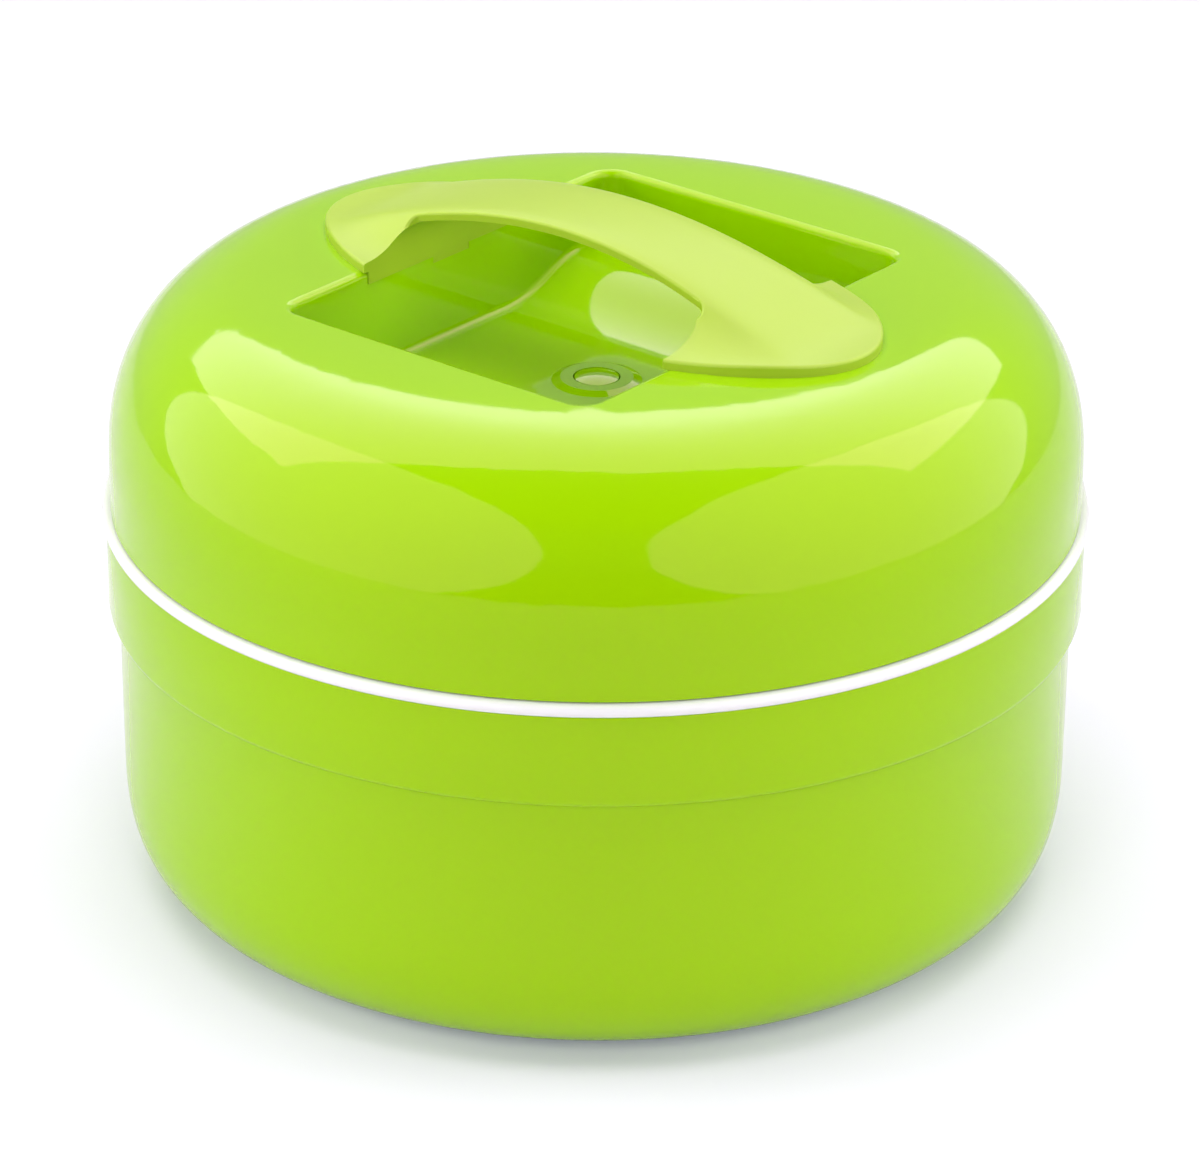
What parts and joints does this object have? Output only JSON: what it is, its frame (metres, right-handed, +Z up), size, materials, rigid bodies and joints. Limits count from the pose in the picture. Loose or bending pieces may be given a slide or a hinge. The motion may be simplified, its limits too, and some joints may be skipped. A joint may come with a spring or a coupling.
{
  "type": "insulated food container",
  "caption": "Round insulated food container with a domed push-on lid, a finger pocket with an arched carry handle, a press vent and a lift-out inner dish.",
  "frame": {"origin": "centre of the foot circle, on the surface that the container stands on", "axes": "+Z up along the container's axis; X along the carry handle; Y across it, along the longer side of the pocket"},
  "size_m": [0.2, 0.2, 0.1424],
  "materials": {
    "lime_plastic": "polished lime green polypropylene",
    "white_plastic": "smooth white polypropylene",
    "dish_plastic": "satin natural polypropylene",
    "foam": "cream rigid foam",
    "silicone": "translucent white silicone",
    "plug_rubber": "soft green elastomer",
    "steel": "bright stainless steel"
  },
  "bodies": {
    "bowl": {"outer_bowl": "lime_plastic", "foam_filler_plug": "plug_rubber", "bowl_insulation": "foam", "bowl_liner": "white_plastic"},
    "dish": {"food_dish": "dish_plastic"},
    "dish_cover": {"dish_lid": "dish_plastic", "dish_seal": "silicone"},
    "lid": {"lid_cover": "lime_plastic", "carry_handle": "lime_plastic", "handle_screws": "steel", "lid_insulation": "foam", "lid_liner": "white_plastic", "lid_seal": "silicone", "vent_bellows": "silicone"},
    "vent": {"vent_button": "lime_plastic", "vent_disc": "silicone", "vent_clip": "steel"}
  },
  "joints": [
    {"name": "dish_lift", "type": "slide", "parent": "bowl", "child": "dish", "axis": [0, 0, 1], "range_m": [0, 0.075]},
    {"name": "dish_lid_lift", "type": "slide", "parent": "dish", "child": "dish_cover", "axis": [0, 0, 1], "range_m": [0, 0.03]},
    {"name": "lid_lift", "type": "slide", "parent": "dish_cover", "child": "lid", "axis": [0, 0, 1], "range_m": [0, 0.05]},
    {"name": "vent_press", "type": "slide", "parent": "lid", "child": "vent", "axis": [0, 0, -1], "range_m": [0, 0.0018], "stiffness_N_per_m": 300, "springref_m": -0.002, "deforming": ["vent_bellows"]}
  ]
}
